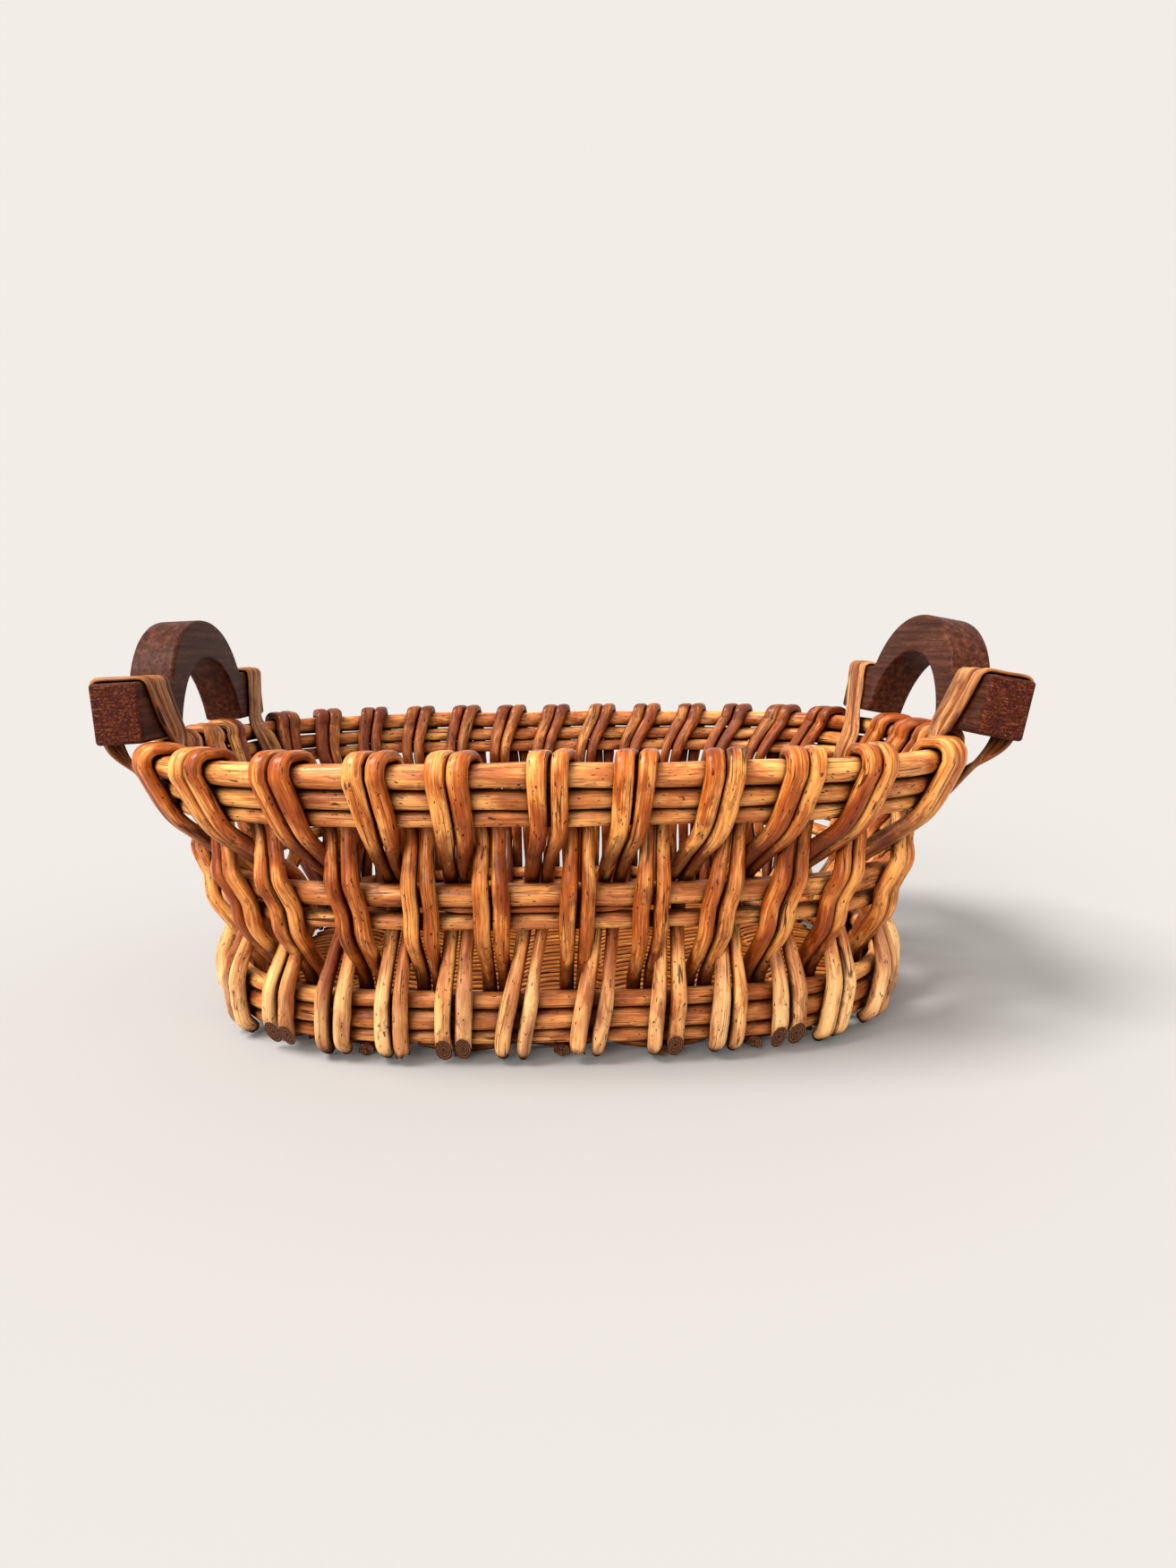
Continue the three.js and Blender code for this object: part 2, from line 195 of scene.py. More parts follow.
def ripple(rng, along, amplitude, shortest, longest):
    """A slow random wave along a rod."""
    total = np.zeros_like(along)
    for _ in range(3):
        total += np.sin(along * 2 * np.pi / rng.uniform(shortest, longest) + rng.uniform(0, 2 * np.pi))
    return amplitude * total / 3


def add_cap(rods, edge, edge_grain, shade, inward, first, at_start):
    """The slightly hollow face of a rod's end, inside an edge whose vertices start at number first."""
    facets = len(edge)
    middle, core = edge.mean(0), edge_grain.mean(0)
    heart = inward * CAP_SINK
    inner = middle + (edge - middle) * CAP_INNER + heart
    offset = rods.count
    rods.points.append(np.concatenate([inner, [middle + heart]]))
    rods.grain.append(np.concatenate([core + (edge_grain - core) * CAP_INNER, [core]]))
    rods.shade.append(np.repeat(shade[None], facets + 1, 0))
    for f in range(facets):
        g = (f + 1) % facets
        quad = (first + f, offset + f, offset + g, first + g)
        tip = (offset + f, offset + facets, offset + g)
        rods.faces += [quad, tip] if at_start else [quad[::-1], tip[::-1]]
        rods.cuts += [True, True]
    rods.count += facets + 1


def add_rod(rods, rng, centre, side, width, depth, *, facets=12, ends=("plain", "plain"), out=None,
            tint=0.5, pale=0.0, dark=0.0, rough=1.0, squared=2.2):
    """A willow rod along a line of points, whose section's first axis follows side.

    Its ends are plain, oblique, torn or bent."""
    along = travelled(centre)
    tangent = unit(np.gradient(centre, axis=0))
    up = unit(np.cross(tangent, side))
    side = np.cross(up, tangent)
    swell, *swell_waves = WIDTH_WAVE
    width = np.broadcast_to(width, along.shape) * (1 + ripple(rng, along, swell * rough, *swell_waves))
    depth = np.broadcast_to(depth, along.shape) * (1 + ripple(rng, along, swell * rough, *swell_waves))
    wander, *wander_waves = PATH_WAVE
    centre = centre + side * ripple(rng, along, wander * rough, *wander_waves)[:, None]
    dark = np.broadcast_to(dark, along.shape).astype(float).copy()
    bump = np.zeros_like(along)
    knot = rng.uniform(*FIRST_KNOT)
    while knot < along[-1]:
        near = np.exp(-(((along - knot) / rng.uniform(*KNOT_LENGTHS)) ** 2))
        bump += KNOT_SWELL * rough * near
        dark += KNOT_DARK * near
        knot += rng.uniform(*KNOT_GAPS)
    theta = np.arange(facets) / facets * 2 * np.pi
    exponent = 2 / np.broadcast_to(squared, along.shape)[:, None]
    round_x, round_y = power_of(np.cos(theta), exponent), power_of(np.sin(theta), exponent)
    knot_side = 1 + bump[:, None] * (0.5 + 0.5 * np.cos(theta - rng.uniform(0, 2 * np.pi)))
    across = (width / 2)[:, None] * round_x * knot_side
    raised = (depth / 2)[:, None] * round_y * knot_side
    lengthwise = np.repeat(along[:, None], facets, 1)
    keep = np.ones(len(along), bool)
    for place, style in zip((0, -1), ends):
        inward = 1 if place == 0 else -1
        distance = np.abs(along - along[place])
        if style == "oblique":
            reach = across[place] * (side[place] @ out[place]) + raised[place] * (up[place] @ out[place])
            cut = CUT_SLOPE * (reach + np.abs(reach).max())
        elif style == "torn":
            cut = rng.uniform(0, TORN_LENGTH, facets)
        else:
            cut = rng.uniform(0, SAWN_LENGTH, facets)
        lengthwise[place] = along[place] + inward * cut
        keep &= (distance == 0) | (distance > cut.max() + 0.5)
    grid = (
        centre[:, None] + side[:, None] * across[..., None] + up[:, None] * raised[..., None]
        + tangent[:, None] * (lengthwise - along[:, None])[..., None]
    )
    grain = np.stack([across, raised, lengthwise + rng.uniform(0, GRAIN_RANGE)], -1)
    grid, grain, dark, kept = grid[keep], grain[keep], dark[keep], along[keep]
    pale = np.broadcast_to(pale, along.shape)[keep]
    near_end = np.minimum(kept, along[-1] - kept)
    dark = dark + END_DARK * np.exp(-near_end / END_DARK_LENGTH)
    shade = np.stack([np.full_like(dark, tint), np.clip(dark, 0, 1), pale, np.ones_like(dark)], -1)
    rings = len(grid)
    faces = []
    for ring in range(rings - 1):
        here, after = ring * facets, (ring + 1) * facets
        for f in range(facets):
            g = (f + 1) % facets
            faces.append((here + f, here + g, after + g, after + f))
    start = rods.count
    rods.add(grid.reshape(-1, 3), faces, grain.reshape(-1, 3), np.repeat(shade, facets, 0), False)
    for ring, inward in ((0, tangent[0]), (rings - 1, -tangent[-1])):
        add_cap(rods, grid[ring], grain[ring], shade[ring], inward, start + ring * facets, ring == 0)


def build(name, rods, materials, replaced):
    """One piece from its rods, with its material and that of its cut ends, in place of its CAD node."""
    mesh = bpy.data.meshes.new(name)
    mesh.from_pydata((np.concatenate(rods.points) * MM).tolist(), [], rods.faces)
    mesh.attributes.new("grain", "FLOAT_VECTOR", "POINT").data.foreach_set(
        "vector", (np.concatenate(rods.grain) * MM).astype(np.float32).ravel())
    mesh.attributes.new("shade", "FLOAT_COLOR", "POINT").data.foreach_set(
        "color", np.concatenate(rods.shade).astype(np.float32).ravel())
    for material in materials:
        mesh.materials.append(material)
    cuts = np.array(rods.cuts)
    mesh.polygons.foreach_set("material_index", cuts.astype(np.int32))
    mesh.polygons.foreach_set("use_smooth", ~cuts)
    mesh.validate()
    mesh.update()
    piece = bpy.data.objects.new(name, mesh)
    bpy.context.scene.collection.objects.link(piece)
    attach(piece, "root")
    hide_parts(replaced)
    return piece


# ---------------------------------------------------------------- materials

def srgb(red, green, blue):
    """A colour given in 0 to 255 display values, as the linear colour that a shader takes."""
    def linear(value):
        value /= 255
        return value / 12.92 if value <= 0.04045 else ((value + 0.055) / 1.055) ** 2.4
    return linear(red), linear(green), linear(blue), 1


class Nodes:
    """A new material, and short ways to add nodes to it."""

    def __init__(self, name):
        self.material = bpy.data.materials.new(name)
        self.material.use_nodes = True
        self.tree = self.material.node_tree
        self.shader = self.tree.nodes["Principled BSDF"]

    def add(self, kind, inputs=(), **settings):
        node = self.tree.nodes.new(kind)
        for key, value in settings.items():
            setattr(node, key, value)
        for key, value in dict(inputs).items():
            self.put(node.inputs[key], value)
        return node

    def put(self, socket, value):
        if isinstance(value, bpy.types.NodeSocket):
            self.tree.links.new(value, socket)
        else:
            socket.default_value = value

    def maths(self, operation, a, b=0.0, clamp=False):
        return self.add("ShaderNodeMath", {0: a, 1: b}, operation=operation, use_clamp=clamp).outputs[0]

    def mix(self, share, a, b):
        return self.add("ShaderNodeMix", {0: share, 6: a, 7: b}, data_type="RGBA").outputs[2]

    def scaled(self, vector, across, along):
        return self.add(
            "ShaderNodeVectorMath", {0: vector, 1: (across, across, along)}, operation="MULTIPLY"
        ).outputs[0]

    def noise(self, vector, detail=2.0, roughness=0.5, distortion=0.0):
        return self.add("ShaderNodeTexNoise", {
            "Vector": vector, "Scale": 1.0, "Detail": detail,
            "Roughness": roughness, "Distortion": distortion,
        }).outputs["Fac"]

    def ramp(self, value, *stops):
        node = self.add("ShaderNodeValToRGB", {"Fac": value})
        marks = node.color_ramp.elements
        while len(marks) < len(stops):
            marks.new(0.5)
        for mark, (place, colour) in zip(marks, stops):
            mark.position = place
            mark.color = colour
        return node.outputs["Color"]

    def step(self, value, low, high):
        """0 below low, 1 above high, and smooth between."""
        return self.add("ShaderNodeMapRange", {
            "Value": value, "From Min": low, "From Max": high,
        }, interpolation_type="SMOOTHSTEP").outputs["Result"]

    def crevice(self, reach):
        """1 deep between neighbouring rods, 0 in the open: an ambient occlusion mask for painted shade."""
        shade = self.add("ShaderNodeAmbientOcclusion", {"Distance": reach}, samples=6).outputs["AO"]
        return self.maths("SUBTRACT", 1.0, shade, clamp=True)

    def finish(self, colour, roughness, height, depth, coat, coat_roughness, gloss=0.1, dull=0.0):
        """Connects the shader. Where dull is 1, in crevices with painted shade, nothing shines."""
        shine = self.maths("SUBTRACT", 1.0, dull, clamp=True)
        bump = self.add("ShaderNodeBump", {"Height": height, "Strength": 0.75, "Distance": depth})
        self.put(self.shader.inputs["Base Color"], colour)
        self.put(self.shader.inputs["Roughness"], roughness)
        self.put(self.shader.inputs["Normal"], bump.outputs["Normal"])
        self.put(self.shader.inputs["Specular IOR Level"], self.maths("MULTIPLY", shine, gloss))
        self.put(self.shader.inputs["Coat Weight"], self.maths("MULTIPLY", shine, coat))
        self.shader.inputs["Coat Roughness"].default_value = coat_roughness
        return self.material


STAIN = srgb(122, 50, 6)
# Brown of dark patches: real dirt at knots, ends and tips, and painted shade on the back wall's stakes.
SOIL_AND_SHADE = srgb(92, 38, 9)
# Brown for painted shade in crevices, and for the real dark specks and cracks.
SHADE_AND_FLAW_BROWN = srgb(42, 6, 1)


def willow(name, deep, middle, light, pale_colour, coat, speck_level=0.67):
    """Varnished willow: cloudy tones, fine fibres, stains, dark dashes and cracks along the rod."""
    n = Nodes(name)
    grain = n.add("ShaderNodeAttribute", attribute_name="grain").outputs["Vector"]
    shade = n.add("ShaderNodeAttribute", attribute_name="shade").outputs["Color"]
    split = n.add("ShaderNodeSeparateColor", {0: shade})
    tint, dark, pale = split.outputs
    fibre = n.noise(n.scaled(grain, 1500, 60), 5.0, 0.7)
    streak = n.step(n.noise(n.scaled(grain, 800, 22), 3.0, 0.6), 0.54, 0.66)
    cloud = n.noise(n.scaled(grain, 120, 30), 3.0, 0.6, 0.5)
    blotch = n.noise(n.scaled(grain, 230, 75), 4.0, 0.6, 0.9)
    speck = n.step(n.noise(n.scaled(grain, 900, 340), 1.5), speck_level, speck_level + 0.04)
    crack_line = n.maths("ABSOLUTE", n.maths("SUBTRACT", n.noise(n.scaled(grain, 300, 8), 1.5), 0.5))
    crack_here = n.step(n.noise(n.scaled(grain, 60, 30), 1.0), 0.53, 0.58)
    crack = n.maths("MULTIPLY", n.maths("SUBTRACT", 1.0, n.step(crack_line, 0.004, 0.016)), crack_here)
    tone = n.maths("ADD", cloud, n.maths("MULTIPLY", n.maths("SUBTRACT", fibre, 0.5), 0.7))
    tone = n.maths("ADD", tone, n.maths("MULTIPLY", n.maths("SUBTRACT", tint, 0.5), 0.22), clamp=True)
    base = n.ramp(tone, (0.30, deep), (0.50, middle), (0.70, light))
    base = n.mix(n.maths("MULTIPLY", pale, n.step(cloud, 0.2, 0.6)), base, pale_colour)
    base = n.mix(n.maths("MULTIPLY", streak, 0.4), base, STAIN)
    base = n.mix(n.maths("MULTIPLY", n.step(blotch, 0.56, 0.63), 0.5), base, STAIN)
    # Brown patches where the dark share is high: real dirt at knots, ends and tips, darker bands on the
    # stakes, and painted shade on the back wall's stakes.
    patches = n.step(n.maths("ADD", blotch, n.maths("MULTIPLY", dark, 0.2)), 0.42, 0.62)
    soil_and_shade = n.maths("MULTIPLY", dark, patches)
    base = n.mix(soil_and_shade, base, SOIL_AND_SHADE)
    # Painted shade: ambient occlusion darkens the colour deep between neighbouring rods and takes away their
    # shine there.
    painted_crevice_shade = n.maths("MULTIPLY", n.step(n.crevice(0.009), 0.20, 0.74), 0.97)
    base = n.mix(painted_crevice_shade, base, SHADE_AND_FLAW_BROWN)
    flaw = n.maths("MAXIMUM", speck, crack)
    base = n.mix(n.maths("MULTIPLY", flaw, 0.88), base, SHADE_AND_FLAW_BROWN)
    height = n.maths("SUBTRACT", n.maths("MULTIPLY", fibre, 0.7), flaw)
    height = n.maths("ADD", height, n.maths("MULTIPLY", blotch, 0.7))
    roughness = n.maths("ADD", 0.30, n.maths("MULTIPLY", fibre, 0.2))
    roughness = n.maths("ADD", roughness, n.maths("MULTIPLY", soil_and_shade, 0.25))
    return n.finish(base, roughness, height, 0.0006, coat, 0.24, 0.1, painted_crevice_shade)


def cut_willow():
    """A rod's cut end: dark, with growth rings round its heart and a rough surface."""
    n = Nodes("cut_willow")
    grain = n.add("ShaderNodeAttribute", attribute_name="grain").outputs["Vector"]
    flat = n.scaled(grain, 1.0, 0.0)
    radius = n.add("ShaderNodeVectorMath", {0: flat}, operation="LENGTH").outputs["Value"]
    rough = n.noise(n.scaled(grain, 1500, 1500), 3.0, 0.65)
    wave = n.maths("ADD", n.maths("MULTIPLY", radius, 7000.0), n.maths("MULTIPLY", rough, 3.0))
    rings = n.maths("SINE", wave)
    tone = n.maths("ADD", n.maths("MULTIPLY", rings, 0.16), rough, clamp=True)
    colour = n.ramp(tone, (0.25, srgb(44, 22, 14)), (0.55, srgb(92, 56, 38)), (0.85, srgb(140, 96, 66)))
    heart = n.maths("SUBTRACT", 1.0, n.step(radius, 0.0003, 0.0008))
    colour = n.mix(n.maths("MULTIPLY", heart, 0.6), colour, srgb(36, 16, 8))
    return n.finish(colour, 0.78, tone, 0.0005, 0.0, 0.3)


def handle_ends():
    """The sawn ends of the handle's feet: redder, grainy and rough."""
    n = Nodes("handle_end_grain")
    grain = n.add("ShaderNodeAttribute", attribute_name="grain").outputs["Vector"]
    grit = n.noise(n.scaled(grain, 1100, 1100), 5.0, 0.75)
    stretched = n.add("ShaderNodeVectorMath", {0: grain, 1: (160, 1500, 100)}, operation="MULTIPLY")
    saw = n.noise(stretched.outputs[0], 2.0)
    tone = n.maths("ADD", n.maths("MULTIPLY", grit, 0.7), n.maths("MULTIPLY", saw, 0.3))
    colour = n.ramp(tone, (0.34, srgb(30, 4, 0)), (0.5, srgb(66, 18, 3)), (0.66, srgb(140, 76, 42)))
    return n.finish(colour, 0.6, tone, 0.0014, 0.0, 0.3, 0.12)


def handle_wood():
    """Red-brown stained hardwood: long figure, fine pores, scuffs and a dull sheen."""
    n = Nodes("handle_wood_stained")
    grain = n.add("ShaderNodeAttribute", attribute_name="grain").outputs["Vector"]
    figure = n.noise(n.scaled(grain, 420, 20), 3.0, 0.55, 0.15)
    fibre = n.noise(n.scaled(grain, 1300, 60), 3.0, 0.65)
    pore = n.step(n.noise(n.scaled(grain, 2300, 210), 1.0), 0.60, 0.68)
    wear = n.step(n.noise(n.scaled(grain, 80, 70), 4.0, 0.7), 0.56, 0.74)
    tone = n.maths("ADD", figure, n.maths("MULTIPLY", n.maths("SUBTRACT", fibre, 0.5), 0.5), clamp=True)
    colour = n.ramp(tone, (0.30, srgb(48, 20, 10)), (0.5, srgb(68, 33, 20)), (0.75, srgb(98, 56, 38)))
    colour = n.mix(n.maths("MULTIPLY", wear, 0.22), colour, srgb(150, 100, 76))
    colour = n.mix(n.maths("MULTIPLY", pore, 0.55), colour, srgb(44, 20, 14))
    # Painted shade: ambient occlusion darkens the wood in its crevices and takes away its shine there.
    painted_crevice_shade = n.maths("MULTIPLY", n.step(n.crevice(0.008), 0.4, 1.0), 0.7)
    colour = n.mix(painted_crevice_shade, colour, srgb(42, 16, 8))
    height = n.maths("SUBTRACT", n.maths("MULTIPLY", fibre, 0.6), pore)
    roughness = n.maths("ADD", 0.42, n.maths("MULTIPLY", fibre, 0.22))
    return n.finish(colour, roughness, height, 0.0003, 0.03, 0.35, 0.06, painted_crevice_shade)


VARNISHED = willow(
    "willow_varnished", srgb(122, 46, 6), srgb(180, 91, 28), srgb(244, 168, 88), srgb(248, 204, 142), 0.30)
RING = willow(
    "willow_ring", srgb(124, 48, 7), srgb(182, 94, 30), srgb(242, 168, 88), srgb(248, 200, 138), 0.30, 0.68)
WEAVER = willow(
    "willow_weaver", srgb(108, 52, 14), srgb(152, 84, 30), srgb(188, 120, 54), srgb(210, 150, 90), 0.12, 0.74)
SPLIT = willow(
    "willow_split", srgb(104, 48, 18), srgb(158, 90, 42), srgb(214, 148, 86), srgb(236, 186, 124), 0.14, 0.74)
STICK = willow(
    "willow_stick", srgb(84, 42, 20), srgb(120, 68, 32), srgb(150, 92, 48), srgb(170, 110, 66), 0.05, 0.68)
CUT = cut_willow()
WOOD = handle_wood()
WOOD_ENDS = handle_ends()

# ---------------------------------------------------------------- rings

RING_STEPS = 403
# Where the middle of the back is, half the gap between a ring's CAD ends, and how far the thinned ends lap.
BACK_STATION = 15
HALF_GAP = 0.02
LAP = 0.55
# The share of a ring that each thinned end takes, how thin it gets, and how far the ends move apart.
TAPER_SHARE = 0.034
THIN = 0.25
LAP_SHIFT = 0.5
RING_WANDER = (0.35, 60, 160)


def ring_piece(index, name, height, radius):
    """A rod bent into a ring, its thinned ends lapped at the middle of the back."""
    rng = np.random.default_rng(100 + index)
    reach = LAP - HALF_GAP
    stations = np.linspace(BACK_STATION - reach, BACK_STATION + STATIONS + reach, RING_STEPS)
    share = (stations - stations[0]) / (stations[-1] - stations[0])
    taper = np.clip(np.minimum(share, 1 - share) / TAPER_SHARE, 0, 1)
    shift = (1 - taper) * radius * LAP_SHIFT * np.where(share < 0.5, 1, -1)
    points, _, _ = wall_at(station_angle(stations), height, shift)
    points[:, 2] += ripple(rng, travelled(points), *RING_WANDER)
    upright = np.tile([0.0, 0.0, 1.0], (len(points), 1))
    thin = THIN + (1 - THIN) * taper
    rods = Rods()
    add_rod(rods, rng, points, upright, 2 * radius, 2 * radius * thin, facets=16,
            tint=rng.uniform(0.35, 0.65), pale=0.15, rough=0.6)
    build(f"{name}_willow", rods, [RING, CUT], name)


for index, (name, (height, radius)) in enumerate(RINGS.items()):
    ring_piece(index, name, height, radius)


SPLICE_STATIONS = (-1.8, 1.1)
SPLICE_HEIGHT = 69.4
SPLICE_OUT = 0.6
SPLICE_THICKNESS = 3.3
SPLICE_STEPS = 48
SPLICE_TAPER_STEPS = 8
SPLICE_TIP = 0.35


def splice_piece():
    """The thin tip of a third rod that shows between the two waist rods at the front."""
    rng = np.random.default_rng(140)
    stations = np.linspace(*SPLICE_STATIONS, SPLICE_STEPS)
    points, _, _ = wall_at(station_angle(stations), SPLICE_HEIGHT, SPLICE_OUT)
    upright = np.tile([0.0, 0.0, 1.0], (len(points), 1))
    step = np.arange(SPLICE_STEPS)
    ends = np.clip(np.minimum(step, SPLICE_STEPS - 1 - step) / SPLICE_TAPER_STEPS, SPLICE_TIP, 1)
    thickness = SPLICE_THICKNESS * ends
    rods = Rods()
    add_rod(rods, rng, points, upright, thickness, thickness, tint=0.45, rough=0.7)
    build("waist_splice_willow", rods, [RING, CUT], "waist_splice")


splice_piece()

# ---------------------------------------------------------------- stakes

# Stations at rim, waist and foot of the first leg, then waist and foot of the returning leg.
FRONT = [
    (-4.94, -4.75, -4.95, -4.1, -4.3), (-4.05, -3.65, -4.05, -3.35, -3.75), (-3.0, -2.85, -3.2, -2.5, -2.8),
    (-2.0, -2.15, -2.35, -1.75, -1.95), (-1.15, -1.35, -1.5, -0.85, -0.95), (-0.1, -0.3, -0.7, 0.2, 0.15),
    (0.8, 0.65, 0.35, 1.1, 1.15), (1.75, 1.5, 1.45, 1.9, 1.9), (2.6, 2.3, 2.3, 2.65, 2.75),
    (3.45, 3.0, 3.2, 3.4, 3.75), (4.6, 3.95, 3.9, 4.5, 4.95),
]
RIGHT = [(6.5, 5.3, 4.8, 6.0, 6.0), (7.3, 6.75, 5.9, 7.5, 7.3), (8.2, 8.15, 8.0, 8.75, 8.8)]
BACK = [(s, s, s, s + 0.42, s + 0.42) for s in 10.0 + 0.838 * np.arange(13)]
LEFT = [(21.6, 21.3, 21.3, 21.85, 21.9), (22.4, 22.5, 22.6, 23.2, 23.3), (23.2, 23.9, 24.1, 24.65, 24.5)]
STAKES = FRONT + RIGHT + BACK + LEFT
# The indices of the stakes in the back wall.
BACK_STAKES = range(len(FRONT) + len(RIGHT), len(FRONT) + len(RIGHT) + len(BACK))
# How many stations the loop moves along the rim, and the returning leg moves on behind the rim rods.
LOOP_SHIFT = 0.1
RETURN_SHIFT = 0.25
# A leg's heights: the foot, the lower crossing, the waist, the upper crossing, below the rim, in the loop.
LEG_HEIGHTS = [20, 46.5, 70, 92, 106, 130]
TIP_HEIGHT = 7
BELOW_RIM = 110
# How far legs bend where they pass each other, and how far a returning leg follows its straight run.
PASSING = 0.25
STRAIGHTNESS = 0.9
STRAIGHT_ROUNDS = 6
LEG_INSIDE = -7.8
MOST_SLIP = 0.5
STATION_LENGTH = TABLE_LENGTHS[-1] / STATIONS
# Steps along the legs, and along the loops above a height. Then the reach over which stations are averaged,
# up to the top of the loop and further on, and the distance in which one changes into the other.
LEG_STEP = 2.4
LOOP_STEP = 1.1
LOOP_FROM = 104
KINK_REACH = 6
STRAIGHT_REACH = 9
SETTLING = 40

# How the lower ends of the front stakes finish, left rod then right rod, from the left corner.
FRONT_ENDS = [
    ("bent", "bent"), ("oblique", "oblique"), ("bent", "bent"), ("bent", "torn"), ("oblique", "oblique"),
    ("bent", "bent"), ("torn", "bent"), ("bent", "oblique"), ("bent", "bent"), ("oblique", "oblique"),
    ("bent", "bent"),
]


def crossings(upper, lower):
    """Where legs pass each other between two levels, pushed apart until they share the room."""
    stations = (np.array(upper) + np.array(lower)) / 2
    for _ in range(4):
        before = np.roll(stations, 1)
        after = np.roll(stations, -1)
        before[0] -= STATIONS
        after[-1] += STATIONS
        stations = (stations + (before + after) / 2) / 2
    return stations.reshape(-1, 2)


RIM_LEGS = [s for row in STAKES for s in (row[0], row[0] + LOOP_SHIFT)]
WAIST_LEGS = [s for row in STAKES for s in (row[1], row[3])]
FOOT_LEGS = [s for row in STAKES for s in (row[2], row[4])]
UPPER = crossings(RIM_LEGS, WAIST_LEGS)
LOWER = crossings(WAIST_LEGS, FOOT_LEGS)


def leg_station(height, loop, rim, upper, waist, lower, foot, foot_height):
    """The station of a leg at a height: a nearly straight run that bends a little where legs pass."""
    heights = [foot_height, *LEG_HEIGHTS[1:]]
    low, high = np.interp([heights[1], heights[3]], [heights[0], heights[2], heights[4]], [foot, waist, rim])
    through = [foot, low + PASSING * (lower - low), waist, high + PASSING * (upper - high), rim, loop]
    return np.interp(height, heights, through)


def straight_run(height, out, top, bottom):
    """The stations that bring a leg near a straight line from below the rim to the foot.

    On the long walls the line is straight seen from in front. On the ends it is straight along the wall."""
    low, high = LEG_HEIGHTS[0], LEG_HEIGHTS[4]
    share = np.clip((height - low) / (high - low), 0, 1)
    start = bottom + share * (top - bottom)
    ends, _, _ = wall_at(station_angle([bottom, top]), [low, high], LEG_INSIDE)
    line = ends[0] + share[:, None] * (ends[1] - ends[0])
    stations = start
    for _ in range(STRAIGHT_ROUNDS):
        points, along, _ = wall_at(station_angle(stations), height, out)
        missing = line - points
        lengthwise = np.abs(along[:, 0])
        facing = np.clip((lengthwise - 0.4) / 0.3, 0, 1)
        sideways = missing[:, 0] * np.sign(along[:, 0]) / np.maximum(lengthwise, 0.6)
        slip = facing * sideways + (1 - facing) * (missing * along).sum(1)
        stations = start + np.clip(stations + slip / STATION_LENGTH - start, -MOST_SLIP, MOST_SLIP)
    return stations


def stake_line(row, upper, lower, end_height, end_out):
    """A pair's route: rows of station, height, distance outwards, width and depth."""
    rim, waist_a, foot_a, waist_b, foot_b = row
    rim_b = rim + LOOP_SHIFT
    first = np.array([
        (end_height, end_out, 14.4, 6.8),
        (end_height + 7, 8.6, 14.8, 7.2),
        (26.5, 8.5, 14.8, 7.2),
        (46.5, 0.3, 12.4, 6.5),
        (61.5, -7.7, 13.0, 6.5),
        (78.0, -8.1, 13.0, 6.5),
        (92.0, -0.4, 13.0, 6.4),
        (105.0, 6.8, 15.0, 6.0),
        (112.0, 7.5, 15.8, 5.9),
        (129.2, 7.7, 16.4, 5.4),
    ])
    loop = np.array([
        (rim + 0.01, 132.4, 6.0, 16.4, 5.0),
        (rim + 0.03, 133.6, 3.0, 16.4, 4.8),
        (rim_b - 0.03, 133.3, -3.4, 16.2, 5.0),
        (rim_b - 0.01, 130.6, -7.0, 16.0, 5.2),
    ])
    second = np.array([
        (125.0, -7.9, 15.4, 5.5),
        (106.0, -7.6, 13.6, 6.2),
        (92.0, 0.6, 12.8, 6.4),
        (80.0, 7.8, 14.4, 6.9),
        (62.5, 7.7, 14.4, 6.9),
        (46.5, -0.2, 12.5, 6.6),
        (32.0, -7.7, 13.0, 6.4),
        (13.0, -8.2, 12.8, 6.2),
    ])
    below = rim_b + RETURN_SHIFT
    up = leg_station(first[:, 0], rim, rim, upper[0], waist_a, lower[0], foot_a, TIP_HEIGHT)
    down = leg_station(second[:, 0], rim_b, below, upper[1], waist_b, lower[1], foot_b, LEG_HEIGHTS[0])
    straight = straight_run(second[:, 0], second[:, 1], below, (foot_b + waist_b) / 2)
    down = np.where(second[:, 0] < BELOW_RIM, down + STRAIGHTNESS * (straight - down), down)
    return np.concatenate([np.column_stack([up, first]), loop, np.column_stack([down, second])])


# Where each kind of end finishes: its height and its distance outwards.
END_PLACES = {"oblique": (1.6, 9.6), "torn": (3.4, 7.6), "bent": (2.6, 4.2)}
# Oblique cuts on the front stakes face a little more to the front than the wall does.
CUT_FORWARD = np.array([0.0, -1.2, 0.0])
# The middle height and the reach of a stake's zones: its pale foot, and three where the rod is darker.
PALE_FOOT = (20, 22)
DARK_INSIDE_FOOT = (34, 16)
DARK_UNDER_RIM = (92, 11)
SOILED_CREST = (134, 3.5)
BACK_PALENESS = 0.5
# Painted shade on the back wall: an extra dark share for its stakes, and a darker range of tints.
BACK_WALL_SHADE = 0.45
BACK_WALL_SHADED_TINTS = (0.1, 0.7)
TINTS = (0.2, 1.0)


def zone(height, middle, reach):
    """1 at one height, fading to 0 above and below it."""
    return np.exp(-(((height - middle) / reach) ** 2))


